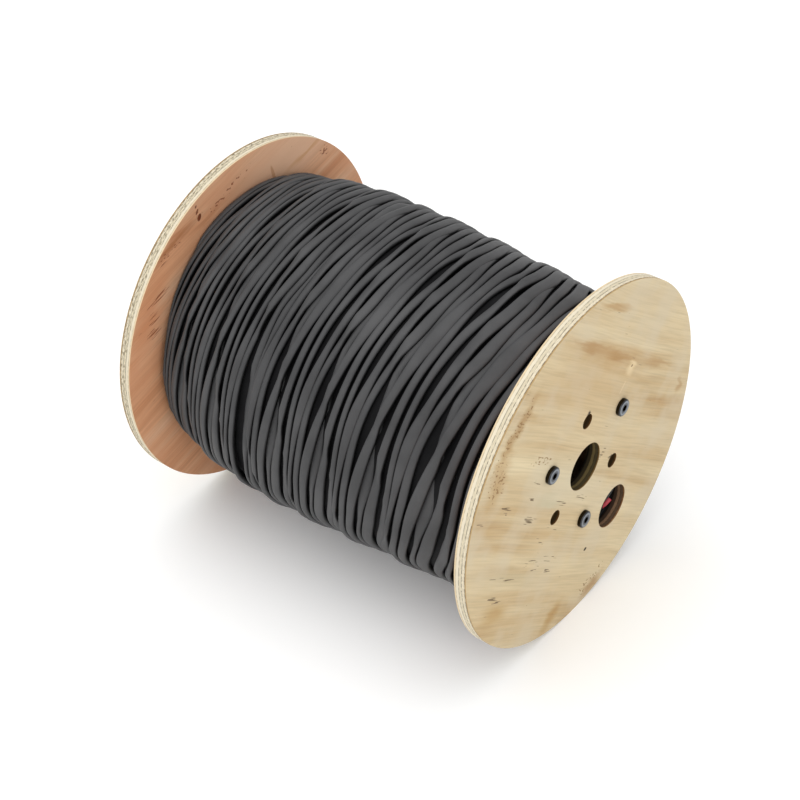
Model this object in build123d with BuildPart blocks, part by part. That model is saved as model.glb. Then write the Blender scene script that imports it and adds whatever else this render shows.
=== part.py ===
from build123d import *
import os
from math import cos, radians, sin

# A full spool of flat speaker cable, lying on the rims of its two plywood flanges.
# The drum axis runs along X, at the height of the flange radius, and the floor is Z = 0.
# The flange with the start hole faces +X. Angles about the axis count from +Y towards +Z.

# Plywood flanges
flange_diameter = 305
flange_thickness = 10.5
traverse = 320
arbor_diameter = 40
rest_turn = 2.6

# Drive holes take the pins of a winding machine
drive_hole_count = 3
drive_hole_diameter = 12.5
drive_circle_diameter = 91

# The start hole lets the inner end of the cable out, just outside the drum
start_hole_diameter = 38
start_hole_core_gap = 4.5

# Paperboard drum, let into a ring groove in each flange
core_diameter = 127
core_wall = 3.5
core_seat_depth = 3
core_seat_clearance = 0.2

# Tie bolts run close inside the drum and pull the flanges together
bolt_count = 3
bolt_diameter = 6.4
bolt_hole_clearance = 0.3
bolt_core_gap = 1.8
bolt_tail = 1.2
head_diameter = 14.5
head_height = 3.5
head_edge_break = 0.8
socket_width = 5
socket_depth = 2.2

# Hex nuts bear on the far flange
nut_width = 11
nut_height = 5
nut_thread_clearance = 0.1

# Cable winding: bunches of crossing turns, fullest a third of the way from the far flange.
# Each bunch rises steeply on its far side and slopes down to the next notch,
# and the winding's ends show rings where the cable turns back
end_ring_width = 15
winding_core_clearance = 0.2
winding_end_clearance = 0.3
bunch_count = 8
bunch_crown = 3.2
bunch_rise = 6
fullest_distance = 105
rim_margin_far = 30
rim_margin_fullest = 20.5
rim_margin_near = 29.5
end_groove_depth = 0.7

# Places that follow from the sizes above. The box round the whole spool is centred on X = 0,
# so the middle of the traverse lies off it by half of what the bolt tails outreach the heads.
axis_height = flange_diameter / 2
middle_x = (nut_height + bolt_tail - head_height) / 2
near_inner_x = middle_x + traverse / 2
near_outer_x = near_inner_x + flange_thickness
far_inner_x = middle_x - traverse / 2
far_outer_x = far_inner_x - flange_thickness
core_radius = core_diameter / 2
groove_inner_radius = core_radius - core_wall - core_seat_clearance
groove_outer_radius = core_radius + core_seat_clearance
start_hole_radius = core_radius + start_hole_core_gap + start_hole_diameter / 2
bolt_hole_radius = bolt_diameter / 2 + bolt_hole_clearance
bolt_circle_radius = groove_inner_radius - bolt_core_gap - bolt_hole_radius
valley_radius_far = flange_diameter / 2 - rim_margin_far
valley_radius_fullest = flange_diameter / 2 - rim_margin_fullest
valley_radius_near = flange_diameter / 2 - rim_margin_near
fullest_x = far_inner_x + fullest_distance
first_drive_angle = 90 + rest_turn
first_bolt_angle = first_drive_angle - 180 / drive_hole_count
start_hole_angle = first_drive_angle - 150
spool_axis = Axis((0, 0, axis_height), (1, 0, 0))


def across(x):
    """Plane square to the spool axis at x, with its own axes along +Y and +Z."""
    return Plane(origin=(x, 0, axis_height), x_dir=(0, 1, 0), z_dir=(1, 0, 0))


def along():
    """Plane through the spool axis, with its own axes along +X and +Z."""
    return Plane(origin=(0, 0, axis_height), x_dir=(1, 0, 0), z_dir=(0, -1, 0))


def on_circle(radius, angle):
    return (radius * cos(radians(angle)), radius * sin(radians(angle)))


bolt_angles = [first_bolt_angle + 360 * i / bolt_count for i in range(bolt_count)]
drive_angles = [first_drive_angle + 360 * i / drive_hole_count for i in range(drive_hole_count)]
bolt_places = [on_circle(bolt_circle_radius, angle) for angle in bolt_angles]
drive_places = [on_circle(drive_circle_diameter / 2, angle) for angle in drive_angles]

os.makedirs("parts", exist_ok=True)


def drilled_flange(outer_x, inward, start_hole_places):
    """A plywood disc with its outer face at outer_x, grooved for the drum on its inner face."""
    with BuildPart() as flange:
        with BuildSketch(across(outer_x)):
            Circle(flange_diameter / 2)
            Circle(arbor_diameter / 2, mode=Mode.SUBTRACT)
            with Locations(*bolt_places):
                Circle(bolt_hole_radius, mode=Mode.SUBTRACT)
            with Locations(*drive_places):
                Circle(drive_hole_diameter / 2, mode=Mode.SUBTRACT)
            if start_hole_places:
                with Locations(*start_hole_places):
                    Circle(start_hole_diameter / 2, mode=Mode.SUBTRACT)
        extrude(amount=inward * flange_thickness)
        with BuildSketch(across(outer_x + inward * flange_thickness)):
            Circle(groove_outer_radius)
            Circle(groove_inner_radius, mode=Mode.SUBTRACT)
        extrude(amount=-inward * core_seat_depth, mode=Mode.SUBTRACT)
    return flange.part


# Flanges: only the near one has a start hole
flange_near = drilled_flange(near_outer_x, -1, [on_circle(start_hole_radius, start_hole_angle)])
flange_near.label = "flange_near"
export_step(flange_near, "parts/flange_near.step")
flange_far = drilled_flange(far_outer_x, 1, [])
flange_far.label = "flange_far"
export_step(flange_far, "parts/flange_far.step")

# Drum core: a tube that reaches the bottom of both grooves
with BuildPart() as drum_core:
    with BuildSketch(across(far_inner_x - core_seat_depth)):
        Circle(core_radius)
        Circle(core_radius - core_wall, mode=Mode.SUBTRACT)
    extrude(amount=traverse + 2 * core_seat_depth)

# Winding profile, worked out from end to end of the traverse
bore_radius = core_radius + winding_core_clearance
winding_start_x = far_inner_x + winding_end_clearance
winding_end_x = near_inner_x - winding_end_clearance
bunch_pitch = (winding_end_x - winding_start_x) / bunch_count


def valley_radius(x):
    """Radius of the notches between bunches, swelling from both flanges to the fullest place."""
    if x < fullest_x:
        share = (fullest_x - x) / fullest_distance
        return valley_radius_fullest - (valley_radius_fullest - valley_radius_far) * share ** 2
    share = (x - fullest_x) / (near_inner_x - fullest_x)
    ease = share ** 2 * (3 - 2 * share)
    return valley_radius_fullest - (valley_radius_fullest - valley_radius_near) * ease


def end_rings(x, outer_radius, into):
    """Points down one end of the winding: rings of turned-back cable, a groove between each two."""
    rings = round((outer_radius - bore_radius) / end_ring_width)
    step = (outer_radius - bore_radius) / rings
    points = []
    for i in range(1, rings):
        groove = outer_radius - i * step
        points.append((x + into * end_groove_depth, groove))
        points.append((x, groove - step / 2))
    return points


notch_places = [winding_start_x + i * bunch_pitch for i in range(bunch_count)]

outline = [(winding_start_x, bore_radius)]
outline += reversed(end_rings(winding_start_x, valley_radius(winding_start_x), 1))
for notch_x in notch_places:
    outline.append((notch_x, valley_radius(notch_x)))
    outline.append((notch_x + bunch_rise, valley_radius(notch_x + bunch_rise) + bunch_crown))
outline.append((winding_end_x, valley_radius(winding_end_x)))
outline += end_rings(winding_end_x, valley_radius(winding_end_x), -1)
outline.append((winding_end_x, bore_radius))

# Cable winding: one turned ring on the core
with BuildPart() as cable_winding:
    with BuildSketch(along()):
        with BuildLine():
            Polyline(*outline, close=True)
        make_face()
    revolve(axis=spool_axis)

# Tie bolts, with round socket heads on the near flange and their tails just past the nuts
bolt_length = near_outer_x - far_outer_x + nut_height + bolt_tail
for i, place in enumerate(bolt_places):
    with BuildPart() as tie_bolt:
        with BuildSketch(across(near_outer_x)):
            with Locations(place):
                Circle(head_diameter / 2)
        extrude(amount=head_height)
        chamfer(tie_bolt.edges().sort_by(Axis.X)[-1], head_edge_break)
        with BuildSketch(across(near_outer_x)):
            with Locations(place):
                Circle(bolt_diameter / 2)
        extrude(amount=-bolt_length)
        with BuildSketch(across(near_outer_x + head_height)):
            with Locations(place):
                RegularPolygon(socket_width / 2, 6, major_radius=False)
        extrude(amount=-socket_depth, mode=Mode.SUBTRACT)
    tie_bolt.part.label = f"tie_bolt_{i + 1}"
    export_step(tie_bolt.part, f"parts/tie_bolt_{i + 1}.step")

# Hex nuts on the far flange
for i, place in enumerate(bolt_places):
    with BuildPart() as hex_nut:
        with BuildSketch(across(far_outer_x)):
            with Locations(place):
                RegularPolygon(nut_width / 2, 6, major_radius=False)
                Circle(bolt_diameter / 2 + nut_thread_clearance, mode=Mode.SUBTRACT)
        extrude(amount=-nut_height)
    hex_nut.part.label = f"hex_nut_{i + 1}"
    export_step(hex_nut.part, f"parts/hex_nut_{i + 1}.step")

drum_core.part.label = "drum_core"
export_step(drum_core.part, "parts/drum_core.step")
cable_winding.part.label = "cable_winding"
export_step(cable_winding.part, "parts/cable_winding.step")
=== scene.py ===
import math

import bmesh
import bpy
from mathutils import Matrix, Vector


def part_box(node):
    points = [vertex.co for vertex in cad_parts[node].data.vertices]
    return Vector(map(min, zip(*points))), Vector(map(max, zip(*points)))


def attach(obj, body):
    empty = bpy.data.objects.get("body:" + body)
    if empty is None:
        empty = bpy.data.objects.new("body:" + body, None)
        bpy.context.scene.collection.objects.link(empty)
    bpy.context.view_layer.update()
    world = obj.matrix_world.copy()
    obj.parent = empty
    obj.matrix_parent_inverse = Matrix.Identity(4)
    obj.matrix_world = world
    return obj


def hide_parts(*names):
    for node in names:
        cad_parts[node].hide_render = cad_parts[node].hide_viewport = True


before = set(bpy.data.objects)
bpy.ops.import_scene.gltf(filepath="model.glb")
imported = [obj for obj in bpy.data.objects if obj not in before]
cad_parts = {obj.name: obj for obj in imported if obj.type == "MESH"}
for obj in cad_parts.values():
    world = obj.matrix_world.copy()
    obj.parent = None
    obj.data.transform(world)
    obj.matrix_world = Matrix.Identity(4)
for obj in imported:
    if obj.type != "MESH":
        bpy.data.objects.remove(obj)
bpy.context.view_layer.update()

print("frame loaded")

scene = bpy.context.scene
mm = 0.001
nearLow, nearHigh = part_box("flange_near")
farLow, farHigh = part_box("flange_far")
nearInnerX, nearOuterX = nearLow[0] / mm, nearHigh[0] / mm  # faces of the two flanges, mm
farOuterX, farInnerX = farLow[0] / mm, farHigh[0] / mm
traverse = nearInnerX - farInnerX
axisZ = (nearLow[2] + nearHigh[2]) / 2 / mm  # height of the spool's axis over the floor, mm


def linear(hexText):
    # "#RRGGBB" in sRGB to the linear RGBA that the shaders work in
    text = hexText.lstrip("#")
    channels = [int(text[i:i + 2], 16) / 255 for i in (0, 2, 4)]
    return tuple(c / 12.92 if c <= 0.04045 else ((c + 0.055) / 1.055) ** 2.4 for c in channels) + (1.0,)


def grey(value):
    return (value, value, value, 1.0)


def newMaterial(name):
    made = bpy.data.materials.new(name)
    made.use_nodes = True
    return made, made.node_tree, made.node_tree.nodes["Principled BSDF"]


def addNode(tree, kind, settings=None, links=None):
    # settings go to the node's own attributes or to its inputs, stops and easing to its colour ramp;
    # a Mix node's factor is input 0, its numbers are inputs 2 and 3 and its colours inputs 6 and 7
    node = tree.nodes.new(kind)
    for key, value in (settings or {}).items():
        if key == "stops":
            marks = node.color_ramp.elements
            marks[0].position, marks[0].color = value[0]
            marks[1].position, marks[1].color = value[-1]
            for place, color in value[1:-1]:
                marks.new(place).color = color
        elif key == "easing":
            node.color_ramp.interpolation = value
        elif isinstance(key, str) and hasattr(node, key):
            setattr(node, key, value)
        else:
            node.inputs[key].default_value = value
    for key, source in (links or {}).items():
        tree.links.new(source, node.inputs[key])
    return node


def smooth(low, high, value):
    t = min(1.0, max(0.0, (value - low) / (high - low)))
    return t * t * (3 - 2 * t)


# Camera, fitted to both flanges' rims in the photograph: place in metres, directions of length 1
cameraSettings = {
    "place": (0.69792, -0.90181, 1.04435),
    "right": (0.78822, 0.61539, 0.0),
    "up": (-0.38430, 0.49223, 0.78104),
    "back": (0.48065, -0.61563, 0.62448),
    "lens": 81.045,
    "sensor": 36.0,
    "clip": (0.05, 50.0),
}


def makeCamera(s):
    data = bpy.data.cameras.new("camera")
    data.lens = s["lens"]
    data.sensor_width = s["sensor"]
    data.clip_start, data.clip_end = s["clip"]
    seen = bpy.data.objects.new("camera", data)
    scene.collection.objects.link(seen)
    right, up, back, place = (Vector(s[k]) for k in ("right", "up", "back", "place"))
    seen.matrix_world = Matrix((
        (right.x, up.x, back.x, place.x),
        (right.y, up.y, back.y, place.y),
        (right.z, up.z, back.z, place.z),
        (0, 0, 0, 1)))
    scene.camera = seen


# Soft studio light and a plain pale floor, places in metres
studioSettings = {
    "worldColor": "#FFFFFF",
    "worldStrength": 0.58,
    # a sun as wide as this gives an even dome of light
    "overhead": {"place": (-0.25, -0.45, 1.9), "spread": 75, "strength": 1.73},
    "front": {"place": (2.2, -0.6, 0.8), "aim": (0, 0, 0.15), "size": 1.4, "watts": 10},
    "floorColor": "#F9F9F8",
    "floorRoughness": 0.9,
    "floorSpecular": 0.1,
    "floorGlow": "#FCFCFF",
    "floorGlowStrength": 0.10,  # lifts the shadow a little, as a lit white sweep does
    "floorHalf": 40.0,
}


def aimAt(held, place, aim):
    held.location = place
    held.rotation_euler = (Vector(aim) - Vector(place)).to_track_quat("-Z", "Y").to_euler()
    scene.collection.objects.link(held)


def makeLights(s):
    world = bpy.data.worlds.new("studio")
    world.use_nodes = True
    back = world.node_tree.nodes["Background"]
    back.inputs["Color"].default_value = linear(s["worldColor"])
    back.inputs["Strength"].default_value = s["worldStrength"]
    scene.world = world
    dome = bpy.data.lights.new("overheadDome", "SUN")
    dome.angle = math.radians(s["overhead"]["spread"])
    dome.energy = s["overhead"]["strength"]
    aimAt(bpy.data.objects.new("overheadDome", dome), s["overhead"]["place"], (0, 0, 0))
    box = bpy.data.lights.new("frontSoftbox", "AREA")
    box.shape = "DISK"
    box.size = s["front"]["size"]
    box.energy = s["front"]["watts"]
    aimAt(bpy.data.objects.new("frontSoftbox", box), s["front"]["place"], s["front"]["aim"])


def makeFloor(s):
    # painted board floor, matt white, so it only shows the shadow
    paint, tree, shader = newMaterial("mattWhiteFloorPaint")
    shader.inputs["Base Color"].default_value = linear(s["floorColor"])
    shader.inputs["Roughness"].default_value = s["floorRoughness"]
    shader.inputs["Specular IOR Level"].default_value = s["floorSpecular"]
    shader.inputs["Emission Color"].default_value = linear(s["floorGlow"])
    shader.inputs["Emission Strength"].default_value = s["floorGlowStrength"]
    half = s["floorHalf"]
    corners = [(-half, -half, 0), (half, -half, 0), (half, half, 0), (-half, half, 0)]
    mesh = bpy.data.meshes.new("floor")
    mesh.from_pydata(corners, [], [(0, 1, 2, 3)])
    floor = bpy.data.objects.new("floor", mesh)
    scene.collection.objects.link(floor)
    mesh.materials.append(paint)


makeCamera(cameraSettings)
makeLights(studioSettings)
makeFloor(studioSettings)
scene.view_settings.view_transform = "Standard"
print("camera and studio ready")

# Plywood: five-ply pine, rotary-cut veneers pressed with brown glue, sawn round and left bare.
# It gives long soft straw streaks on the outer faces, a redder back veneer on the inner ones,
# and cream plies with thin dashed glue lines on the rim.
# An oval is (y, z, half its length, half its width, tilt), in mm from the spool's axis and in degrees
# from +Y up. A stain is an oval, its colour and its strength. Turn is the direction of the grain.
plywoodSettings = {
    "straw": {
        "pale": "#D5C4A0", "body": "#C7B28C", "dark": "#B6986C", "turn": -36.5,
        "cloud": "#C9BBA0",
        "stains": [
            ((0, 78, 110, 46, -36), "#B9986A", 0.30),
            ((30, 88, 112, 14, -36), "#B08A55", 0.50),
            ((-6, 116, 38, 5, -39), "#9C7138", 0.55),
            ((38, 82, 46, 5, -39), "#9C7138", 0.50),
            ((100, 38, 44, 5, -34), "#A27A44", 0.45),
            ((26, 133, 34, 5, -30), "#A57A3E", 0.55),
            ((-96, 96, 46, 9, 38), "#A07A44", 0.65),
            ((-116, 66, 34, 16, 60), "#AC8650", 0.55),
            ((138, -6, 12, 6, 70), "#A27A48", 0.50),
            ((-25, 0, 90, 34, -37), "#CDC2A6", 0.55),
            ((-48, -2, 34, 8, -37), "#B9B093", 0.55),
            ((-92, -46, 64, 9, -37), "#B5A888", 0.40),
            ((-116, -66, 30, 16, -36), "#AC8648", 0.60),
            ((-34, -134, 24, 12, 30), "#A9803E", 0.60),
            ((26, -144, 24, 10, 12), "#9C7038", 0.60),
            ((57, 60, 10, 7, -36), "#DDC79E", 0.85),
            ((46, 48, 7, 1.2, 45), "#DDC9A4", 0.35),
            ((57, 62, 1.6, 1.2, 0), "#755534", 0.80),
            ((10.7, -93.5, 2.4, 1.8, 0), "#33230F", 1.00),
            # painted shade: these two dark ovals stand for the shade in notches at the edges of two drive
            # holes
            ((-0.2, 51.0, 4.2, 3.2, 90), "#2C1C0C", 1.00),
            ((36.6, -16.2, 3.6, 3.0, 40), "#2C1C0C", 1.00),
        ],
        "dashes": [
            (-75, 19, 11, 3, -37), (-75, -1, 16, 4, -37), (-57, -37, 13, 2.5, -37), (-44, -64, 20, 3, -37),
            (-66, -52, 17, 3.5, -37), (-60, -62, 15, 3, -37), (-46, -76, 12, 3, -37),
            (-105, -39, 34, 2.5, -37), (-117, -49, 24, 2.5, -37), (-104, 31, 14, 5, -37),
            (-30, -15, 14, 4, -37), (0, -29, 16, 5, -37), (-64, 30, 12, 3.5, -37), (-23, 25, 14, 4, -37),
            (-135, 38, 12, 3, -37), (24, -2, 5, 12, -37),
        ],
        "pits": [
            (-94, 98, 46, 11, 38), (-118, 66, 30, 18, 60), (-60, 46, 24, 8, -37), (22, -136, 40, 9, 12),
        ],
        "dashColor": "#5E4B33", "pitColor": "#8A6A40",
    },
    "red": {
        "pale": "#E2B896", "body": "#DCA27A", "dark": "#CD8E64", "turn": 17.0,
        "cloud": "#D89C76",
        "stains": [
            ((50, 130, 110, 46, 10), "#E6BE9E", 0.75),
            ((-92, 112, 46, 6, 21), "#A9683C", 0.75),
            ((-52, 118, 30, 5, 18), "#BC7E56", 0.50),
            ((-126, 60, 60, 20, 60), "#D2875A", 0.50),
            ((70, 122, 34, 4, 17), "#C98E58", 0.55),
            ((28, 119, 12, 2, -75), "#B87C50", 0.55),
            ((-60, 123, 3.8, 2.4, 70), "#6A2E16", 0.95),
            ((-62, 129, 3.0, 1.2, 60), "#6A2E16", 0.85),
            ((-63, 134, 1.6, 1.0, 60), "#6A2E16", 0.85),
            ((91.6, 112, 3.4, 1.1, 80), "#8A4A28", 0.80),
        ],
        "dashes": [
            (-112, 76, 16, 5, 17), (-118, 58, 16, 8, 17), (-122, 44, 16, 8, 17), (-99, 104, 12, 4, 30),
        ],
        "pits": [
            (-30, 129, 46, 5, 25), (-2, 140, 14, 5, 50), (-62, 124, 9, 8, 60), (-92, 108, 26, 5, 20),
            (92, 113, 12, 8, 60),
        ],
        "dashColor": "#8A4424", "pitColor": "#8E4E2E",
    },
    # plies from the inner face outwards, and the glue lines between them as (depth in mm, strength)
    "plyColors": ["#E2CDA8", "#E6DBC3", "#DED2B6", "#E6DAC0", "#B89B6E"],
    "plyStep": 0.1,  # mm from a glue line to the full colour of a ply
    "plyWave": 0.05,  # waviness of the plies, in thicknesses of the board
    "plyWaveSize": 10,  # mm
    "glueLines": [(1.4, 0.45), (4.0, 0.75), (6.6, 0.9), (9.2, 1.0)],
    "glueHalf": 0.52,  # a real glue line is 0.1 mm, drawn as wide as it needs to show
    "glue": "#3B2C1C",
    "glueShare": 0.9,
    "glueDash": 3.5,  # mm
    # end grain shows as specks that lie along the rim, most in the plies that are cut across their grain
    "speckPlies": [0.0, 0.15, 0.9, 1.0, 0.8],
    "speck": "#6E6248",
    "speckLength": 3.5,  # mm
    "speckWidth": 0.5,
    # walls of the holes: a tint for each ring of holes from the axis outwards, partly saw scorch and partly
    # painted shade, and a tone for each ply, darkest on the inner plies: painted shade deep in the holes
    "holeScorchAndShadeTints": [(0.0, "#B0A27A"), (0.24, "#94764A"), (0.52, "#CDAE9B"), (0.96, "#FFFFFF")],
    "holePlyShade": [0.02, 0.12, 0.62, 0.26, 1.00],
    "holeReach": 125.0,  # mm from the axis, past every hole and short of the rim
    "roughness": 0.66,
    "specular": 0.25,
    "relief": 0.5,
    "reliefMm": 0.3,
}

# Grain of both veneers. The first five and rag are (length along the grain, width, detail), in mm:
# soft tone bands, growth streaks, fibres, lathe dashes, open pits and the ragged edges of stains.
# Real fibres and pits are finer than these, which are as coarse as they need to show.
grainSettings = {
    "bands": (300, 45, 2.0),
    "streaks": (240, 13, 3.0),
    "fibres": (45, 1.5, 3.0),
    "dashes": (15, 0.8, 0.5),
    "pits": (3.6, 1.9, 1.0),
    "rag": (35, 6, 3.0),
    "ragBy": 16,
    "wanderSize": 160,
    "wanderBy": 13,
    "fibreTones": (0.89, 1.03),
    "cloudSize": 45,
    "cloudShare": 0.6,
    "smallStain": 3,  # stains of less than this half width keep a crisp edge
    # a dash or pit shows where its noise, lifted inside the ovals, passes the cut
    "cut": 0.80,
    "dashLift": 0.265,
    "dashSoftness": 0.04,
    "pitLift": 0.235,
    "pitSoftness": 0.06,
    "markShare": 0.85,
    "markDepth": 1.5,  # against the fibres' relief
}


def ovalMask(tree, place, oval, core=0.25):
    # soft-edged oval on the board, 1 in its middle and 0 at its edge
    y, z, halfLength, halfWidth, tilt = oval
    turned = addNode(tree, "ShaderNodeMapping", {
        "vector_type": "TEXTURE", "Location": (0, y * mm, z * mm),
        "Rotation": (math.radians(tilt), 0, 0), "Scale": (100, halfLength * mm, halfWidth * mm)},
        {"Vector": place})
    reach = addNode(tree, "ShaderNodeVectorMath", {"operation": "LENGTH"}, {0: turned.outputs[0]})
    return addNode(tree, "ShaderNodeMapRange", {
        "interpolation_type": "SMOOTHSTEP", "From Min": 1.0, "From Max": core},
        {"Value": reach.outputs["Value"]}).outputs["Result"]


def stained(tree, under, mask, color, strength=1.0):
    share = addNode(tree, "ShaderNodeMath", {"operation": "MULTIPLY", 1: strength}, {0: mask})
    return addNode(tree, "ShaderNodeMix", {"data_type": "RGBA", 7: linear(color)},
                   {0: share.outputs[0], 6: under}).outputs[2]


def fieldOf(tree, place, ovals):
    total = None
    for oval in ovals:
        mask = ovalMask(tree, place, oval)
        if total is None:
            total = mask
        else:
            total = addNode(tree, "ShaderNodeMath", {"operation": "MAXIMUM"},
                            {0: total, 1: mask}).outputs[0]
    return total


def drawnNoise(tree, place, size):
    # noise drawn out along the grain
    length, width, detail = size
    space = addNode(tree, "ShaderNodeMapping", {"Scale": (1.0, 1 / (length * mm), 1 / (width * mm))},
                    {"Vector": place})
    return addNode(tree, "ShaderNodeTexNoise", {"Scale": 1.0, "Detail": detail},
                   {"Vector": space.outputs[0]})


def grainColor(tree, bent, fibres, s, grain):
    # tone bands and streaks in equal shares, dimmed by the fibres, with clouds of greyer or redder wood
    bands = drawnNoise(tree, bent, grain["bands"])
    streaks = drawnNoise(tree, bent, grain["streaks"])
    half = addNode(tree, "ShaderNodeMath", {"operation": "MULTIPLY", 1: 0.5}, {0: bands.outputs["Fac"]})
    tone = addNode(tree, "ShaderNodeMath", {"operation": "MULTIPLY_ADD", 1: 0.5},
                   {0: streaks.outputs["Fac"], 2: half.outputs[0]})
    color = addNode(tree, "ShaderNodeValToRGB", {"stops": [
        (0.33, linear(s["dark"])), (0.47, linear(s["body"])), (0.66, linear(s["pale"]))]},
        {"Fac": tone.outputs[0]}).outputs["Color"]
    dim, bright = grain["fibreTones"]
    fibreTone = addNode(tree, "ShaderNodeValToRGB", {"stops": [(0.32, grey(dim)), (0.60, grey(bright))]},
                        {"Fac": fibres})
    color = addNode(tree, "ShaderNodeMix", {"data_type": "RGBA", "blend_type": "MULTIPLY", "Factor": 1.0},
                    {6: color, 7: fibreTone.outputs["Color"]}).outputs[2]
    cloud = addNode(tree, "ShaderNodeTexNoise", {"Scale": 1 / (grain["cloudSize"] * mm), "Detail": 3.0},
                    {"Vector": bent})
    cloudMask = addNode(tree, "ShaderNodeMapRange", {"From Min": 0.46, "From Max": 0.66},
                        {"Value": cloud.outputs["Fac"]})
    return stained(tree, color, cloudMask.outputs["Result"], s["cloud"], grain["cloudShare"])


def markMask(tree, field, noise, lift, cut, softness):
    lifted = addNode(tree, "ShaderNodeMath", {"operation": "MULTIPLY_ADD", 1: lift}, {0: field, 2: noise})
    return addNode(tree, "ShaderNodeMapRange", {"From Min": cut, "From Max": cut + softness},
                   {"Value": lifted.outputs[0]}).outputs["Result"]


def veneer(tree, centred, s, grain):
    # colour and relief of one face: grain that a slow wander bends, stains, lathe dashes and open pits
    along = addNode(tree, "ShaderNodeMapping", {
        "vector_type": "TEXTURE", "Rotation": (math.radians(s["turn"]), 0, 0)},
        {"Vector": centred}).outputs[0]
    wander = addNode(tree, "ShaderNodeTexNoise", {"Scale": 1 / (grain["wanderSize"] * mm), "Detail": 1.0},
                     {"Vector": along})
    bent = addNode(tree, "ShaderNodeVectorMath", {
        "operation": "MULTIPLY_ADD", 1: (0, 0, grain["wanderBy"] * mm)},
        {0: wander.outputs["Color"], 2: along}).outputs[0]
    fibres = drawnNoise(tree, bent, grain["fibres"]).outputs["Fac"]
    color = grainColor(tree, bent, fibres, s, grain)
    # the edges of stains and marks are ragged, drawn out along the grain
    rag = drawnNoise(tree, along, grain["rag"])
    ragShift = addNode(tree, "ShaderNodeVectorMath", {"operation": "SUBTRACT", 1: (0.5, 0.5, 0.5)},
                       {0: rag.outputs["Color"]})
    ragBy = grain["ragBy"] * mm
    ragged = addNode(tree, "ShaderNodeVectorMath", {"operation": "MULTIPLY_ADD", 1: (0, ragBy, ragBy)},
                     {0: ragShift.outputs[0], 2: centred}).outputs[0]
    for oval, stainColor, strength in s["stains"]:
        small = oval[3] < grain["smallStain"]
        mask = ovalMask(tree, centred if small else ragged, oval, 0.7 if small else 0.1)
        color = stained(tree, color, mask, stainColor, strength)
    masks = {}
    for kind, group in (("dash", "dashes"), ("pit", "pits")):
        noise = drawnNoise(tree, bent, grain[group]).outputs["Fac"]
        masks[kind] = markMask(tree, fieldOf(tree, ragged, s[group]), noise, grain[kind + "Lift"],
                               grain["cut"], grain[kind + "Softness"])
        color = stained(tree, color, masks[kind], s[kind + "Color"], grain["markShare"])
    marks = addNode(tree, "ShaderNodeMath", {"operation": "MAXIMUM"}, {0: masks["dash"], 1: masks["pit"]})
    relief = addNode(tree, "ShaderNodeMath", {"operation": "MULTIPLY_ADD", 1: -grain["markDepth"]},
                     {0: marks.outputs[0], 2: fibres}).outputs[0]
    return color, relief


def atDepth(s, depth, total):
    # place on a ramp over the board's thickness, where half of the waviness lies before it
    return depth / total + s["plyWave"] / 2


def plyStops(s, total, values):
    # one value for each ply by its depth, with a narrow step at each glue line
    edges = [0.0] + [line for line, strength in s["glueLines"]] + [total]
    stops = []
    for low, high, value in zip(edges, edges[1:], values):
        stops.append((atDepth(s, low + s["plyStep"], total), value))
        stops.append((atDepth(s, high - s["plyStep"], total), value))
    return stops


def plyDepth(tree, centred, place, s, innerX, outerX):
    # share of the board's thickness from its inner face, with wavy plies
    depth = addNode(tree, "ShaderNodeMapRange", {"From Min": innerX * mm, "From Max": outerX * mm},
                    {"Value": place.outputs[0]})
    rough = addNode(tree, "ShaderNodeTexNoise", {"Scale": 1 / (s["plyWaveSize"] * mm), "Detail": 3.0},
                    {"Vector": centred})
    return addNode(tree, "ShaderNodeMath", {"operation": "MULTIPLY_ADD", 1: s["plyWave"]},
                   {0: rough.outputs["Fac"], 2: depth.outputs["Result"]}).outputs[0]


def glueMask(tree, centred, depth, s, total):
    # glue lines, broken into dashes a few mm long
    stops = []
    for line, strength in s["glueLines"]:
        for offset, value in ((-s["glueHalf"], 0.0), (0.0, strength), (s["glueHalf"], 0.0)):
            stops.append((atDepth(s, line + offset, total), grey(value)))
    lines = addNode(tree, "ShaderNodeValToRGB", {"stops": stops}, {"Fac": depth})
    breaks = addNode(tree, "ShaderNodeTexNoise", {"Scale": 1 / (s["glueDash"] * mm), "Detail": 1.0},
                     {"Vector": centred})
    broken = addNode(tree, "ShaderNodeMapRange", {"From Min": 0.42, "From Max": 0.54, "To Min": 0.25},
                     {"Value": breaks.outputs["Fac"]})
    return addNode(tree, "ShaderNodeMath", {"operation": "MULTIPLY"},
                   {0: lines.outputs["Color"], 1: broken.outputs["Result"]}).outputs[0]


def speckMask(tree, centred, depth, s, total):
    # end grain, on the rim unrolled by its angle round the axis
    split = addNode(tree, "ShaderNodeSeparateXYZ", links={0: centred})
    angle = addNode(tree, "ShaderNodeMath", {"operation": "ARCTAN2"},
                    {0: split.outputs[1], 1: split.outputs[2]})
    around = addNode(tree, "ShaderNodeMath", {"operation": "MULTIPLY", 1: axisZ / s["speckLength"]},
                     {0: angle.outputs[0]})
    across = addNode(tree, "ShaderNodeMath", {"operation": "MULTIPLY", 1: 1 / (s["speckWidth"] * mm)},
                     {0: split.outputs[0]})
    unrolled = addNode(tree, "ShaderNodeCombineXYZ", links={0: across.outputs[0], 1: around.outputs[0]})
    endGrain = addNode(tree, "ShaderNodeTexNoise", {"Scale": 1.0, "Detail": 2.0},
                       {"Vector": unrolled.outputs[0]})
    specks = addNode(tree, "ShaderNodeMapRange", {"From Min": 0.47, "From Max": 0.62},
                     {"Value": endGrain.outputs["Fac"]})
    plies = addNode(tree, "ShaderNodeValToRGB", {
        "stops": plyStops(s, total, [grey(v) for v in s["speckPlies"]])}, {"Fac": depth})
    return addNode(tree, "ShaderNodeMath", {"operation": "MULTIPLY"},
                   {0: specks.outputs["Result"], 1: plies.outputs["Color"]}).outputs[0]


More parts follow.
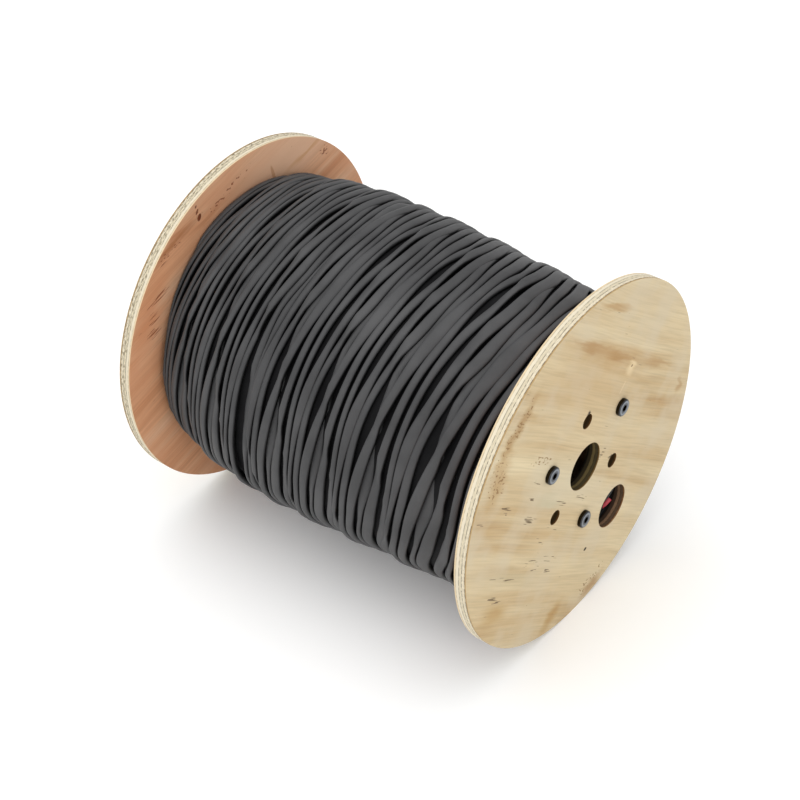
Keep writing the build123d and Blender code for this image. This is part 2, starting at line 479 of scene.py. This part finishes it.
def holeScorchAndShade(tree, color, centred, depth, s, total):
    # walls of the holes, saw-scorched and with painted shade that is darkest on the inner plies, told from
    # the rim by their distance from the axis
    flat = addNode(tree, "ShaderNodeVectorMath", {"operation": "MULTIPLY", 1: (0, 1, 1)}, {0: centred})
    radius = addNode(tree, "ShaderNodeVectorMath", {"operation": "LENGTH"}, {0: flat.outputs[0]})
    share = addNode(tree, "ShaderNodeMath", {"operation": "DIVIDE", 1: s["holeReach"] * mm},
                    {0: radius.outputs["Value"]})
    tint = addNode(tree, "ShaderNodeValToRGB", {
        "stops": [(spot, linear(hexText)) for spot, hexText in s["holeScorchAndShadeTints"]], "easing": "CONSTANT"},
        {"Fac": share.outputs[0]})
    inHole = addNode(tree, "ShaderNodeMath", {"operation": "LESS_THAN", 1: s["holeScorchAndShadeTints"][-1][0]},
                     {0: share.outputs[0]})
    plyShade = addNode(tree, "ShaderNodeValToRGB", {
        "stops": plyStops(s, total, [grey(v) for v in s["holePlyShade"]])}, {"Fac": depth})
    toned = addNode(tree, "ShaderNodeMix", {"data_type": "RGBA", "blend_type": "MULTIPLY"},
                    {0: inHole.outputs[0], 6: color, 7: plyShade.outputs["Color"]})
    return addNode(tree, "ShaderNodeMix", {"data_type": "RGBA", "blend_type": "MULTIPLY", "Factor": 1.0},
                   {6: toned.outputs[2], 7: tint.outputs["Color"]}).outputs[2]


def rimColor(tree, centred, place, s, innerX, outerX, speckle):
    # plies by depth through the board, for the rim and the walls of the holes
    total = abs(outerX - innerX)
    depth = plyDepth(tree, centred, place, s, innerX, outerX)
    plies = addNode(tree, "ShaderNodeValToRGB", {
        "stops": plyStops(s, total, [linear(c) for c in s["plyColors"]])}, {"Fac": depth})
    specks = speckMask(tree, centred, depth, s, total)
    color = stained(tree, plies.outputs["Color"], specks, s["speck"], speckle)
    color = holeScorchAndShade(tree, color, centred, depth, s, total)
    return stained(tree, color, glueMask(tree, centred, depth, s, total), s["glue"], s["glueShare"])


def flangeMaterial(name, s, innerX, outerX, speckle, spin):
    made, tree, shader = newMaterial(name)
    coords = addNode(tree, "ShaderNodeTexCoord")
    place = addNode(tree, "ShaderNodeSeparateXYZ", links={0: coords.outputs["Object"]})
    facing = addNode(tree, "ShaderNodeSeparateXYZ", links={0: coords.outputs["Normal"]})
    centred = addNode(tree, "ShaderNodeVectorMath", {"operation": "SUBTRACT", 1: (0, 0, axisZ * mm)},
                      {0: coords.outputs["Object"]}).outputs[0]
    turnedFace = addNode(tree, "ShaderNodeMapping", {"Rotation": (math.radians(spin), 0, 0)},
                         {"Vector": centred})
    outerColor, outerRelief = veneer(tree, turnedFace.outputs[0], s["straw"], grainSettings)
    innerColor, innerRelief = veneer(tree, centred, s["red"], grainSettings)
    # the outer face is of the straw veneer and the inner one of the red
    outside = addNode(tree, "ShaderNodeMapRange", {
        "From Min": (innerX + outerX) / 2 * mm, "From Max": outerX * mm}, {"Value": place.outputs[0]})
    side = addNode(tree, "ShaderNodeMath", {"operation": "GREATER_THAN", 1: 0.5},
                   {0: outside.outputs["Result"]})
    face = addNode(tree, "ShaderNodeMix", {"data_type": "RGBA"},
                   {0: side.outputs[0], 6: innerColor, 7: outerColor})
    relief = addNode(tree, "ShaderNodeMix", {"data_type": "FLOAT"},
                     {0: side.outputs[0], 2: innerRelief, 3: outerRelief})
    rim = rimColor(tree, centred, place, s, innerX, outerX, speckle)
    # faces look along the axis, the rim and the walls of the holes across it
    steep = addNode(tree, "ShaderNodeMath", {"operation": "ABSOLUTE"}, {0: facing.outputs[0]})
    faceMask = addNode(tree, "ShaderNodeMath", {"operation": "GREATER_THAN", 1: 0.7}, {0: steep.outputs[0]})
    color = addNode(tree, "ShaderNodeMix", {"data_type": "RGBA"},
                    {0: faceMask.outputs[0], 6: rim, 7: face.outputs[2]})
    tree.links.new(color.outputs[2], shader.inputs["Base Color"])
    bump = addNode(tree, "ShaderNodeBump", {"Strength": s["relief"], "Distance": s["reliefMm"] * mm},
                   {"Height": relief.outputs[0]})
    tree.links.new(bump.outputs[0], shader.inputs["Normal"])
    shader.inputs["Roughness"].default_value = s["roughness"]
    shader.inputs["Specular IOR Level"].default_value = s["specular"]
    return made


def dress(node, material):
    held = bpy.data.objects[node]
    held.data.materials.clear()
    held.data.materials.append(material)


dress("flange_near", flangeMaterial("pinePlywoodNear", plywoodSettings, nearInnerX, nearOuterX,
                                    speckle=0.30, spin=0))
dress("flange_far", flangeMaterial("pinePlywoodFar", plywoodSettings, farInnerX, farOuterX,
                                   speckle=0.85, spin=120))
print("plywood flanges ready")

# Winding of flat two-core speaker cable, in bunches of crossing turns.
# Edges are mm past the bunch's first gap, on a bunch of 44.75 mm, at the listed angles
# from the top over the front to the underside. Lift is mm over the bunch's own height.
windingSettings = {
    "angles": [-36, -15, 5, 25, 45, 65, 84, 101.6, 125],
    "turns": [
        {"left": [-5.5, 4.5, 6.0, 1.0, -2.0, -7.5, -8.5, -14.0, -27.5],
         "right": [1.5, 13.0, 14.0, 9.5, 3.5, 0.5, -4.0, -10.5, -20.5],
         "lift": [0.4, 0.6, 0.2, 0.2, 0.2, 0.5, 0.4, 0.0, 0.0]},
        {"left": [-1.5, 7.5, 14.0, 11.0, 4.5, -1.0, -4.0, -9.0, -19.0],
         "right": [3.0, 13.5, 20.5, 19.5, 10.5, 4.5, 2.0, -4.0, -13.5],
         "lift": [-0.7, -0.7, 0.0, 0.2, 0.1, -0.4, -0.3, 0.0, 0.0]},
        {"left": [3.5, 15.0, 20.0, 14.5, 11.5, 9.0, 8.0, 5.0, -6.0],
         "right": [10.0, 21.5, 25.5, 24.0, 17.5, 17.5, 18.0, 9.5, -1.5],
         "lift": [0.0, -0.1, -1.2, -2.6, -3.0, -4.2, -3.4, -1.2, -0.4]},
        {"left": [10.5, 22.5, 26.0, 21.0, 17.5, 11.0, 3.5, -3.0, -13.0],
         "right": [19.0, 31.5, 33.0, 31.5, 24.5, 18.0, 12.0, 3.5, -7.0],
         "lift": [0.2, 0.3, 0.5, 0.7, 0.6, 1.2, 1.2, 0.5, 0.2]},
        {"left": [20.0, 32.5, 32.5, 29.5, 25.5, 22.5, 18.5, 10.0, -1.0],
         "right": [29.5, 39.5, 36.5, 36.0, 31.5, 28.5, 25.5, 19.0, 7.5],
         "lift": [0.0, 0.0, -0.2, -0.2, 0.2, 0.1, 0.0, 0.0, 0.0]},
        {"left": [30.0, 40.5, 41.5, 37.0, 33.5, 31.0, 30.0, 22.0, 10.5],
         "right": [38.0, 49.0, 49.0, 44.0, 38.5, 36.0, 35.0, 30.0, 16.5],
         "lift": [0.2, 0.2, 0.2, 0.2, 0.2, 0.2, 0.0, 0.0, 0.0]},
    ],
    # mm from the far flange to each bunch, starting before it so that the winding is full to its end
    "bunchStarts": [-21.25, 16.25, 53.75, 92.25, 116.25, 158.75, 203.5, 254.0, 314.0, 374.0],
    "bunchLength": 44.75,
    "shortBunch": 3,  # this bunch keeps its first three turns
    "shortScale": 0.9,
    "fillLift": -2.4,  # a lower turn shows in the space that it leaves
    # place of the notch between two bunches at each angle, in bunches
    "notch": [(-36, 0.44), (-5, 0.91), (20, 1.03), (45, 1.16), (60, 1.25), (75, 1.42), (90, 1.58),
              (110, 1.52), (128, 1.42), (324, 1.44)],
    # radius over the turns: fullest a third of the way along, lower at both flanges
    "fullRadius": 134.6,
    "fullPlace": 105.0,
    "farDrop": 13.2,
    "nearDrop": 8.6,
    # slack of the turns beside the far flange, mm by angle, gone at slackReach
    "farSlack": [(28, 0.0), (50, 4.5), (75, 6.0), (130, 5.0), (200, 1.0), (324, 0.0)],
    "slackReach": 30.0,
    "rise": 1.4,
    "fall": 2.2,
    "riseShare": 0.14,
    "thickness": 4.6,
    "gap": 0.35,  # mm taken off each side of a turn
    "slimmest": 3.0,
    "slipShare": 1.2,  # a turn slips down by this share of the width that it lacks
    "maxSlip": 5.0,
    "shoulder": 0.18,  # a turn leans as the crown does between its shoulders, this share of its width in
    "tiltShare": 0.78,
    "maxTilt": 1.6,
    "sideWander": 0.25,
    "heightWander": 0.2,
    "changeStart": 0.75,  # share of a turn where its wander starts to give way to the next one's
    "step": 3.0,  # degrees between cross-sections
    "endClearance": 0.5,
    "leastShown": 1.0,  # turns that lie past a flange but for this many mm are left out
    # the back isn't in the photograph: there each turn swings and heaves by up to these many mm
    "backAngles": [150, 180, 212, 245, 278, 305, 324],
    "backSwing": 1.6,
    "backHeave": 0.5,
    "backEase": 0.35,
    # section of one turn: across and out, as shares of its half width and half thickness
    "section": [(-1.0, 0.0), (-0.97, 0.50), (-0.84, 0.86), (-0.52, 1.08), (0.0, 1.18), (0.52, 1.08),
                (0.84, 0.86), (0.97, 0.50), (1.0, 0.0), (0.85, -0.85), (0.0, -1.0), (-0.85, -0.85)],
    "crown": (0.1, 0.95),  # heights on the section over which the jacket comes out of the painted shade of the gap
}


def between(table, value):
    # straight lines between (place, number) pairs
    if value <= table[0][0]:
        return table[0][1]
    for (a, p), (b, q) in zip(table, table[1:]):
        if value <= b:
            return p + (q - p) * (value - a) / (b - a)
    return table[-1][1]


def eased(places, numbers, value):
    # smooth curve through the numbers that never overshoots its neighbours
    last = len(places) - 1
    i = 0
    while i < last - 1 and value > places[i + 1]:
        i += 1
    span = places[i + 1] - places[i]
    t = (value - places[i]) / span

    def slope(k):
        if k == 0 or k == last:
            a, b = max(k - 1, 0), min(k + 1, last)
            return (numbers[b] - numbers[a]) / (places[b] - places[a])
        before = (numbers[k] - numbers[k - 1]) / (places[k] - places[k - 1])
        after = (numbers[k + 1] - numbers[k]) / (places[k + 1] - places[k])
        return 0.0 if before * after <= 0 else 2 * before * after / (before + after)

    m0, m1 = slope(i) * span, slope(i + 1) * span
    t2, t3 = t * t, t * t * t
    return ((2 * t3 - 3 * t2 + 1) * numbers[i] + (t3 - 2 * t2 + t) * m0
            + (3 * t2 - 2 * t3) * numbers[i + 1] + (t3 - t2) * m1)


def fullness(x, s):
    # radius over the bunches without their own rise and fall
    if x < s["fullPlace"]:
        return s["fullRadius"] - s["farDrop"] * ((s["fullPlace"] - x) / s["fullPlace"]) ** 2
    return s["fullRadius"] - s["nearDrop"] * smooth(s["fullPlace"], traverse, x)


def crownRadius(x, angle, s):
    # each bunch rises steeply after its notch and falls slowly towards +X
    starts = s["bunchStarts"]
    count = between([(place, float(k)) for k, place in enumerate(starts)], x)
    phase = (count - between(s["notch"], angle)) % 1.0
    lift = s["rise"] - (s["rise"] + s["fall"]) * phase
    if phase < s["riseShare"]:
        lift = -s["fall"] + (s["rise"] + s["fall"]) * smooth(0.0, s["riseShare"], phase)
    slack = between(s["farSlack"], angle) * max(0.0, 1 - x / s["slackReach"]) ** 2
    return fullness(x, s) + lift - slack


def jitter(seed, angle):
    # small repeatable wander of one turn: three waves round it, whose phases come from the seed
    a = math.radians(angle)
    return (math.sin(seed * 12.9898 + 2 * a) * 0.5 + math.sin(seed * 78.233 + 3 * a) * 0.3
            + math.sin(seed * 37.719 + 5 * a) * 0.2)


def topTurns(s):
    # left, right and lift of each turn of the top layer over the traced front angles
    found = []
    starts = s["bunchStarts"]
    for bunch, start in enumerate(starts[:-1]):
        short = bunch == s["shortBunch"]
        scale = s["shortScale"] if short else (starts[bunch + 1] - start) / s["bunchLength"]
        for turn in s["turns"][:3 if short else None]:
            edges = [[start + v * scale for v in turn[side]] for side in ("left", "right")]
            found.append((edges[0], edges[1], list(turn["lift"])))
        if short:
            space = len(found)
    found.insert(space, (found[space - 1][1], found[space][0], [s["fillLift"]] * len(s["angles"])))
    return found


def placeTurns(s):
    # the unseen back of each turn leads on to the place where the next one begins
    fronts = topTurns(s)
    angles = s["angles"] + s["backAngles"]
    first, last = s["angles"][-1], s["backAngles"][-1]
    turns = []
    for n, (left, right, lift) in enumerate(fronts[:-1]):
        nextLeft, nextRight, nextLift = fronts[n + 1]
        backs = ([], [], [])
        for angle in s["backAngles"]:
            t = (angle - first) / (last - first)
            share = s["backEase"] * smooth(0, 1, t) + (1 - s["backEase"]) * t
            # the phases differ from turn to turn, so that no two run alike
            swing = s["backSwing"] * math.sin(math.radians(angle * 3 + n * 60)) * math.sin(math.pi * t)
            backs[0].append(left[-1] + (nextLeft[0] - left[-1]) * share + swing)
            backs[1].append(right[-1] + (nextRight[0] - right[-1]) * share + swing)
            heave = s["backHeave"] * math.sin(math.pi * t) * math.sin(n * 2.4 + angle * 0.06)
            backs[2].append(lift[-1] + (nextLift[0] - lift[-1]) * t + heave)
        turns.append((n, angles, left + backs[0], right + backs[1], lift + backs[2]))
    return turns


def onDrum(x, radius, angle):
    # metres in the spool's frame, angle in degrees from the top over the front
    a = math.radians(angle)
    return ((farInnerX + x) * mm, -radius * mm * math.sin(a), (axisZ + radius * math.cos(a)) * mm)


def edgesAt(s, turn, t):
    # left edge, right edge and lift of a turn at a share t of it, held between the flanges
    seed, angles, lefts, rights, lifts = turn
    angle = angles[0] + 360 * t
    change = smooth(s["changeStart"], 1.0, t)

    def wander(offset):
        return jitter(seed + offset, angle) * (1 - change) + jitter(seed + 1 + offset, angle) * change

    left = eased(angles, lefts, angle) + s["sideWander"] * wander(0.0) + s["gap"]
    right = eased(angles, rights, angle) + s["sideWander"] * wander(0.5) - s["gap"]
    lift = eased(angles, lifts, angle) + s["heightWander"] * wander(0.25)
    endLow, endHigh = s["endClearance"], traverse - s["endClearance"]
    low, high = max(left, endLow), min(right, endHigh)
    short = s["slimmest"] - (high - low)
    if short <= 0:
        return low, high, lift
    slip = min(s["maxSlip"], short * s["slipShare"])  # pressed against a flange, a turn slips down beside it
    if left < endLow:
        return endLow, endLow + s["slimmest"], lift - slip
    if right > endHigh:
        return endHigh - s["slimmest"], endHigh, lift - slip
    return low - short / 2, high + short / 2, lift


def crossSection(mesh, shade, s, turn, t):
    # ring of vertices at a share t of one turn
    angle = turn[1][0] + 360 * t
    low, high, lift = edgesAt(s, turn, t)
    middle, width = (low + high) / 2, high - low
    topLeft = crownRadius(low + s["shoulder"] * width, angle, s)
    topRight = crownRadius(high - s["shoulder"] * width, angle, s)
    tilt = max(-s["maxTilt"], min(s["maxTilt"], (topRight - topLeft) * s["tiltShare"]))
    half = s["thickness"] / 2
    radius = (topLeft + topRight) / 2 + lift - half
    ring = []
    for across, out in s["section"]:
        place = onDrum(middle + across * width / 2, radius + out * half + across * tilt, angle)
        vert = mesh.verts.new(place)
        # painted shade: a vertex low on the section takes the near-black gap colour
        vert[shade] = smooth(s["crown"][0], s["crown"][1], out)
        ring.append(vert)
    return ring


def joinRings(mesh, rings, closed=False):
    # faces between each two rings, with a cap on both ends unless the last ring meets the first
    sides = len(rings[0])
    for first, second in zip(rings, rings[1:] + (rings[:1] if closed else [])):
        for j in range(sides):
            k = (j + 1) % sides
            mesh.faces.new((first[j], first[k], second[k], second[j]))
    if not closed:
        mesh.faces.new(rings[0][::-1])
        mesh.faces.new(rings[-1])


def sweepCable(mesh, shade, s, turns):
    # one length of flat cable, wound turn after turn from the far flange to the near one
    count = int(round(360 / s["step"]))
    rings = [crossSection(mesh, shade, s, turn, i / count) for turn in turns for i in range(count)]
    rings.append(crossSection(mesh, shade, s, turns[-1], 1.0))
    joinRings(mesh, rings)


def makeObject(name, mesh, material, smoothShade=True):
    data = bpy.data.meshes.new(name)
    bmesh.ops.recalc_face_normals(mesh, faces=mesh.faces)
    mesh.to_mesh(data)
    mesh.free()
    data.polygons.foreach_set("use_smooth", [smoothShade] * len(data.polygons))
    data.materials.append(material)
    made = bpy.data.objects.new(name, data)
    scene.collection.objects.link(made)
    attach(made, "root")
    return made


# PVC compound extruded as a flat two-core jacket, satin-matt dark grey:
# a fine pebble skin, faint rub marks on the crowns, and painted shade: near black on the sides of the turns,
# where no light gets between them
jacketSettings = {
    "body": "#414142",
    "rubbed": "#4E4E4F",
    # painted shade between the turns
    "gap": "#060606",
    "roughness": 0.58,
    "ior": 1.53,
    "specular": 0.3,
    "pebbleMm": 1.1,  # real pebbling is 0.1 mm, drawn coarser so that it shows
    "relief": 0.35,
    "reliefMm": 0.1,
    "rubMm": 40,
}
# painted shade: the layers under the top turns are the same jacket darkened to near black, as they lie in
# the top turns' shade
underShadeSettings = dict(jacketSettings, body="#161617", rubbed="#202021", specular=0.05)


def jacketMaterial(name, s, shaded):
    made, tree, shader = newMaterial(name)
    coords = addNode(tree, "ShaderNodeTexCoord")
    cloud = addNode(tree, "ShaderNodeTexNoise", {"Scale": 1 / (s["rubMm"] * mm), "Detail": 4.0},
                    {"Vector": coords.outputs["Object"]})
    color = addNode(tree, "ShaderNodeValToRGB", {
        "stops": [(0.38, linear(s["body"])), (0.66, linear(s["rubbed"]))]},
        {"Fac": cloud.outputs["Fac"]}).outputs["Color"]
    # painted shade: the sides of the turns fade to the near-black gap colour by their height on the section
    if shaded:
        gapShadeShare = addNode(tree, "ShaderNodeAttribute", {"attribute_name": "crown"})
        color = addNode(tree, "ShaderNodeMix", {"data_type": "RGBA", 6: linear(s["gap"])},
                        {0: gapShadeShare.outputs["Fac"], 7: color}).outputs[2]
    tree.links.new(color, shader.inputs["Base Color"])
    pebble = addNode(tree, "ShaderNodeTexNoise", {"Scale": 1 / (s["pebbleMm"] * mm), "Detail": 2.0},
                     {"Vector": coords.outputs["Object"]})
    bump = addNode(tree, "ShaderNodeBump", {"Strength": s["relief"], "Distance": s["reliefMm"] * mm},
                   {"Height": pebble.outputs["Fac"]})
    tree.links.new(bump.outputs[0], shader.inputs["Normal"])
    shader.inputs["Roughness"].default_value = s["roughness"]
    shader.inputs["IOR"].default_value = s["ior"]
    shader.inputs["Specular IOR Level"].default_value = s["specular"]
    return made


# The layers under the top turns, as one turned body with its sizes in mm
bodySettings = {
    "boreRadius": 63.8,
    "topRadius": 112.0,  # the rings on the ends stop here
    "layer": 4.6,
    "ringDepth": 1.3,
    "ringRound": 0.7,
    "ringEdge": 0.25,
    "under": 6.0,
    "stations": [2, 12, 25, 42, 70, 105, 150, 190, 215, 240, 270, 300, 318],
    "sides": 120,
}


def makeBody(s, winding, material):
    # bored for the drum, its layers showing as rings on both ends
    rings = []
    r = s["boreRadius"]
    while r < s["topRadius"]:
        rings += [(r, s["ringDepth"]), (r + s["ringRound"], s["ringEdge"]),
                  (r + s["layer"] - s["ringRound"], s["ringEdge"]), (r + s["layer"], s["ringDepth"])]
        r += s["layer"]
    profile = [(depth, radius) for radius, depth in rings]
    deepest = max(slack for angle, slack in winding["farSlack"])
    for x in s["stations"]:
        slack = deepest * max(0.0, 1 - x / winding["slackReach"]) ** 2
        profile.append((x, fullness(x, winding) - s["under"] - slack))
    profile += [(traverse - depth, radius) for radius, depth in reversed(rings)]
    mesh = bmesh.new()
    hoops = []
    for x, radius in profile:
        hoops.append([mesh.verts.new(onDrum(x, radius, 360 * i / s["sides"])) for i in range(s["sides"])])
    joinRings(mesh, hoops, closed=True)
    return makeObject("cable_body", mesh, material, smoothShade=False)


def makeWinding(s):
    mesh = bmesh.new()
    shade = mesh.verts.layers.float.new("crown")
    shown = [turn for turn in placeTurns(s)
             if max(turn[3]) > s["leastShown"] and min(turn[2]) < traverse - s["leastShown"]]
    sweepCable(mesh, shade, s, shown)
    turns = makeObject("cable_turns", mesh, jacketMaterial("pvcJacketDarkGrey", jacketSettings, True))
    body = makeBody(bodySettings, s, jacketMaterial("pvcJacketPaintedShadeUnderTurns", underShadeSettings, False))
    for piece in (turns, body):
        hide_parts("cable_winding")


makeWinding(windingSettings)
print("winding ready")

# Inner end of the cable, stripped to its two insulated cores and tucked behind the start hole.
# Places are (x, y, z) in mm, y and z from the axis.
tailSettings = {
    "red": {"path": [(152.0, 49, -93), (157.0, 51.5, -87), (160.6, 55, -82), (162.2, 59, -78.5)],
            "radius": 2.6, "color": "#C23B48"},
    "black": {"path": [(152.0, 45, -90), (157.0, 50, -82), (160.6, 55.5, -75), (161.8, 61, -69)],
              "radius": 2.6, "color": "#121512"},
    "mottleMm": 3,
    "mottle": 0.75,
    "roughness": 0.4,
    "sides": 16,
    "steps": 24,
}


def coreMaterial(name, color, s):
    # drawn PVC core insulation, smooth and slightly glossy
    made, tree, shader = newMaterial(name)
    coords = addNode(tree, "ShaderNodeTexCoord")
    mottle = addNode(tree, "ShaderNodeTexNoise", {"Scale": 1 / (s["mottleMm"] * mm), "Detail": 2.0},
                     {"Vector": coords.outputs["Object"]})
    tone = addNode(tree, "ShaderNodeMix", {
        "data_type": "RGBA", "blend_type": "MULTIPLY", 6: linear(color), 7: grey(s["mottle"])},
        {0: mottle.outputs["Fac"]})
    tree.links.new(tone.outputs[2], shader.inputs["Base Color"])
    shader.inputs["Roughness"].default_value = s["roughness"]
    return made


def makeCore(name, core, s):
    # a round core on a smooth curve through the points of its path
    mesh = bmesh.new()
    knots = [Vector((x, y, z + axisZ)) * mm for x, y, z in core["path"]]
    knots = [knots[0] * 2 - knots[1]] + knots + [knots[-1] * 2 - knots[-2]]
    spans = len(knots) - 3
    rings = []
    for i in range(s["steps"] + 1):
        t = i / s["steps"] * spans
        k = min(int(t), spans - 1)
        t -= k
        a, b, c, d = knots[k:k + 4]
        spot = 0.5 * (2 * b + (c - a) * t + (2 * a - 5 * b + 4 * c - d) * t * t
                      + (3 * b - a - 3 * c + d) * t ** 3)
        heading = (c - b).normalized()
        side = heading.cross(Vector((1, 0, 0))).normalized()
        up = side.cross(heading)
        ring = []
        for j in range(s["sides"]):
            around = 2 * math.pi * j / s["sides"]
            outward = side * math.cos(around) + up * math.sin(around)
            ring.append(mesh.verts.new(spot + outward * core["radius"] * mm))
        rings.append(ring)
    joinRings(mesh, rings)
    piece = makeObject(name, mesh, coreMaterial(name + "PvcInsulation", core["color"], s))


makeCore("start_core_red", tailSettings["red"], tailSettings)
makeCore("start_core_black", tailSettings["black"], tailSettings)
print("start of the cable ready")

# Bolts and nuts: zinc-plated steel, turned and cold-headed. A dull grey plate with a paler ring that is a
# painted highlight, a star socket painted black as the shade in it and sides painted brown-black as shade.
zincSettings = {
    # the ring colour is a painted highlight, the dark and socket colours are painted shade
    "plate": "#60656C", "worn": "#4A4E54", "ring": "#8E949B", "dark": "#2A2418", "socket": "#050608",
    "roughness": 0.42,
    "spotMm": 2.0,
    "starRadius": 2.7, "starDepth": 0.55, "starPoints": 6,
    "ringHighlightShare": 0.8,
    # (mm from the middle of the head, strength of the painted highlight ring)
    "rings": [(0.0, 0.0), (3.2, 0.0), (4.4, 0.15), (4.7, 1.0), (5.7, 1.0), (6.1, 0.1), (7.3, 0.0)],
    "boltReach": 8.0,  # past the edge of the head
}


def starMask(tree, flat, radius, s):
    # star socket, painted black as the shade in it: its edge swings in and out round the bolt
    split = addNode(tree, "ShaderNodeSeparateXYZ", links={0: flat})
    around = addNode(tree, "ShaderNodeMath", {"operation": "ARCTAN2"},
                     {0: split.outputs[1], 1: split.outputs[2]})
    points = addNode(tree, "ShaderNodeMath", {"operation": "MULTIPLY", 1: float(s["starPoints"])},
                     {0: around.outputs[0]})
    swing = addNode(tree, "ShaderNodeMath", {"operation": "COSINE"}, {0: points.outputs[0]})
    edge = addNode(tree, "ShaderNodeMath", {
        "operation": "MULTIPLY_ADD", 1: s["starDepth"], 2: s["starRadius"]}, {0: swing.outputs[0]})
    return addNode(tree, "ShaderNodeMath", {"operation": "LESS_THAN"},
                   {0: radius, 1: edge.outputs[0]}).outputs[0]


def zincMaterial(name, s, centre):
    # centre is the bolt's place (y, z) in metres
    made, tree, shader = newMaterial(name)
    coords = addNode(tree, "ShaderNodeTexCoord")
    facing = addNode(tree, "ShaderNodeSeparateXYZ", links={0: coords.outputs["Normal"]})
    steep = addNode(tree, "ShaderNodeMath", {"operation": "ABSOLUTE"}, {0: facing.outputs[0]})
    spots = addNode(tree, "ShaderNodeTexNoise", {"Scale": 1 / (s["spotMm"] * mm), "Detail": 4.0},
                    {"Vector": coords.outputs["Object"]})
    color = addNode(tree, "ShaderNodeValToRGB", {
        "stops": [(0.3, linear(s["worn"])), (0.7, linear(s["plate"]))]},
        {"Fac": spots.outputs["Fac"]}).outputs["Color"]
    local = addNode(tree, "ShaderNodeVectorMath", {"operation": "SUBTRACT", 1: (0, centre[0], centre[1])},
                    {0: coords.outputs["Object"]})
    flat = addNode(tree, "ShaderNodeVectorMath", {"operation": "MULTIPLY", 1: (0, 1 / mm, 1 / mm)},
                   {0: local.outputs[0]}).outputs[0]
    radius = addNode(tree, "ShaderNodeVectorMath", {"operation": "LENGTH"}, {0: flat}).outputs["Value"]
    share = addNode(tree, "ShaderNodeMath", {"operation": "DIVIDE", 1: s["boltReach"]}, {0: radius})
    # painted highlight: strength of the paler ring by the distance from the bolt's middle
    turned = addNode(tree, "ShaderNodeValToRGB", {
        "stops": [(r / s["boltReach"], grey(v)) for r, v in s["rings"]]}, {"Fac": share.outputs[0]})
    color = stained(tree, color, turned.outputs["Color"], s["ring"], s["ringHighlightShare"])
    color = stained(tree, color, starMask(tree, flat, radius, s), s["socket"])
    # painted shade: the sides of heads and nuts, which look across the axis, are painted brown-black
    sides = addNode(tree, "ShaderNodeMapRange", {"From Min": 0.9, "From Max": 0.55},
                    {"Value": steep.outputs[0]})
    color = stained(tree, color, sides.outputs["Result"], s["dark"])
    tree.links.new(color, shader.inputs["Base Color"])
    shader.inputs["Metallic"].default_value = 1.0
    shader.inputs["Roughness"].default_value = s["roughness"]
    return made


for number in (1, 2, 3):
    low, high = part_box(f"tie_bolt_{number}")
    middle = ((low[1] + high[1]) / 2, (low[2] + high[2]) / 2)
    zinc = zincMaterial(f"zincPlatedSteel{number}", zincSettings, middle)
    dress(f"tie_bolt_{number}", zinc)
    dress(f"hex_nut_{number}", zinc)

# Drum: wound kraft paperboard, brown and fibrous, with leaning seams
boardSettings = {
    "dark": "#5F4A33", "pale": "#7B6346", "seam": "#4A3826",
    "seamMm": 160, "seamAngle": 32, "seamShare": 0.8,
    "fibreMm": 3,
    "relief": 0.4, "reliefMm": 0.2,
    "roughness": 0.85,
}


def boardMaterial(s):
    made, tree, shader = newMaterial("kraftPaperboard")
    coords = addNode(tree, "ShaderNodeTexCoord")
    fibre = addNode(tree, "ShaderNodeTexNoise", {"Scale": 1 / (s["fibreMm"] * mm), "Detail": 5.0},
                    {"Vector": coords.outputs["Object"]})
    color = addNode(tree, "ShaderNodeValToRGB", {
        "stops": [(0.3, linear(s["dark"])), (0.7, linear(s["pale"]))]},
        {"Fac": fibre.outputs["Fac"]}).outputs["Color"]
    leaned = addNode(tree, "ShaderNodeMapping", {"Rotation": (0, 0, math.radians(s["seamAngle"]))},
                     {"Vector": coords.outputs["Object"]})
    # a Wave node at scale 1 runs through 20 radians in each metre
    waveScale = 2 * math.pi / 20 / (s["seamMm"] * mm)
    seams = addNode(tree, "ShaderNodeTexWave", {"Scale": waveScale, "Distortion": 0.0},
                    {"Vector": leaned.outputs[0]})
    seam = addNode(tree, "ShaderNodeMapRange", {"From Min": 0.03, "From Max": 0.0},
                   {"Value": seams.outputs["Fac"]})
    color = stained(tree, color, seam.outputs["Result"], s["seam"], s["seamShare"])
    tree.links.new(color, shader.inputs["Base Color"])
    bump = addNode(tree, "ShaderNodeBump", {"Strength": s["relief"], "Distance": s["reliefMm"] * mm},
                   {"Height": fibre.outputs["Fac"]})
    tree.links.new(bump.outputs[0], shader.inputs["Normal"])
    shader.inputs["Roughness"].default_value = s["roughness"]
    return made


dress("drum_core", boardMaterial(boardSettings))
print("drum, bolts and nuts dressed")
